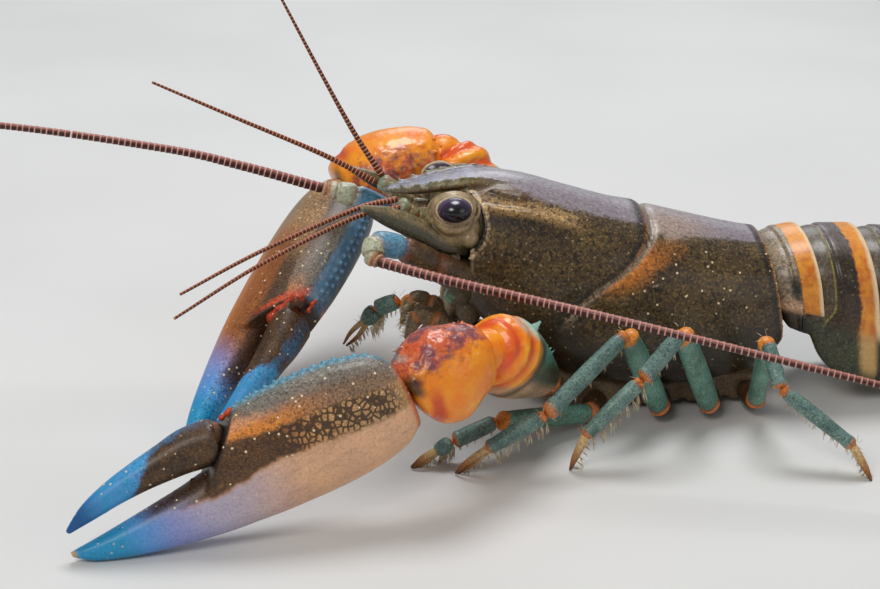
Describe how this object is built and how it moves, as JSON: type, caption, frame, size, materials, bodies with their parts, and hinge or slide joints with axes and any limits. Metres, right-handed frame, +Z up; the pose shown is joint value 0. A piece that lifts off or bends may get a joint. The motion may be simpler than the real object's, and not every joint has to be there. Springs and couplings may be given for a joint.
{
  "type": "tiger crayfish",
  "caption": "Life-size still model of a male tiger crayfish with large banded claws, standing on its walking legs with its feelers spread.",
  "frame": {"origin": "on the floor below the middle of the bounding box", "axes": "-X toward the head, +Y toward the animal's right side, +Z up from the floor"},
  "size_m": [0.2108, 0.0812, 0.0575],
  "materials": {
    "shell": "glossy speckled olive-brown shell",
    "band": "glossy dark brown shell with orange and cream bands",
    "belly": "satin pale brown",
    "cornea": "polished purple-black",
    "stalk": "satin tan",
    "feeler": "satin maroon with fine rings",
    "peduncle": "glossy green, cream and blue",
    "orange": "glossy orange with purple-brown mottling",
    "claw": "glossy brown, peach and blue shell",
    "leg": "satin speckled teal with orange joints"
  },
  "bodies": {
    "root": {"carapace": "shell", "thorax_underside": "belly", "eye_left": "cornea", "eye_right": "cornea", "eyestalk_left": "stalk", "eyestalk_right": "stalk", "abdomen_1": "band", "abdomen_2": "band", "abdomen_3": "band", "abdomen_4": "band", "abdomen_5": "band", "abdomen_6": "band", "telson": "band", "uropod_inner_left": "band", "uropod_inner_right": "band", "uropod_outer_left": "band", "uropod_outer_right": "band", "antennule_base_left": "peduncle", "antennule_base_right": "peduncle", "antennule_outer_flagellum_left": "feeler", "antennule_outer_flagellum_right": "feeler", "antennule_inner_flagellum_left": "feeler", "antennule_inner_flagellum_right": "feeler", "antenna_peduncle_left": "peduncle", "antenna_peduncle_right": "peduncle", "antennal_scale_left": "peduncle", "antennal_scale_right": "peduncle", "antenna_flagellum_base_left": "feeler", "antenna_flagellum_base_right": "feeler", "antenna_flagellum_end_left": "feeler", "antenna_flagellum_end_right": "feeler", "maxilliped_left": "belly", "maxilliped_right": "belly", "cheliped_ischium_left": "leg", "cheliped_ischium_right": "leg", "cheliped_merus_left": "orange", "cheliped_merus_right": "orange", "cheliped_carpus_left": "orange", "cheliped_carpus_right": "orange", "cheliped_propodus_left": "claw", "cheliped_propodus_right": "claw", "cheliped_dactyl_left": "claw", "cheliped_dactyl_right": "claw", "leg_2_upper_left": "leg", "leg_2_lower_left": "leg", "leg_3_upper_left": "leg", "leg_3_lower_left": "leg", "leg_4_upper_left": "leg", "leg_4_lower_left": "leg", "leg_5_upper_left": "leg", "leg_5_lower_left": "leg", "leg_2_upper_right": "leg", "leg_2_lower_right": "leg", "leg_3_upper_right": "leg", "leg_3_lower_right": "leg", "leg_4_upper_right": "leg", "leg_4_lower_right": "leg", "leg_5_upper_right": "leg", "leg_5_lower_right": "leg"}
  },
  "joints": []
}
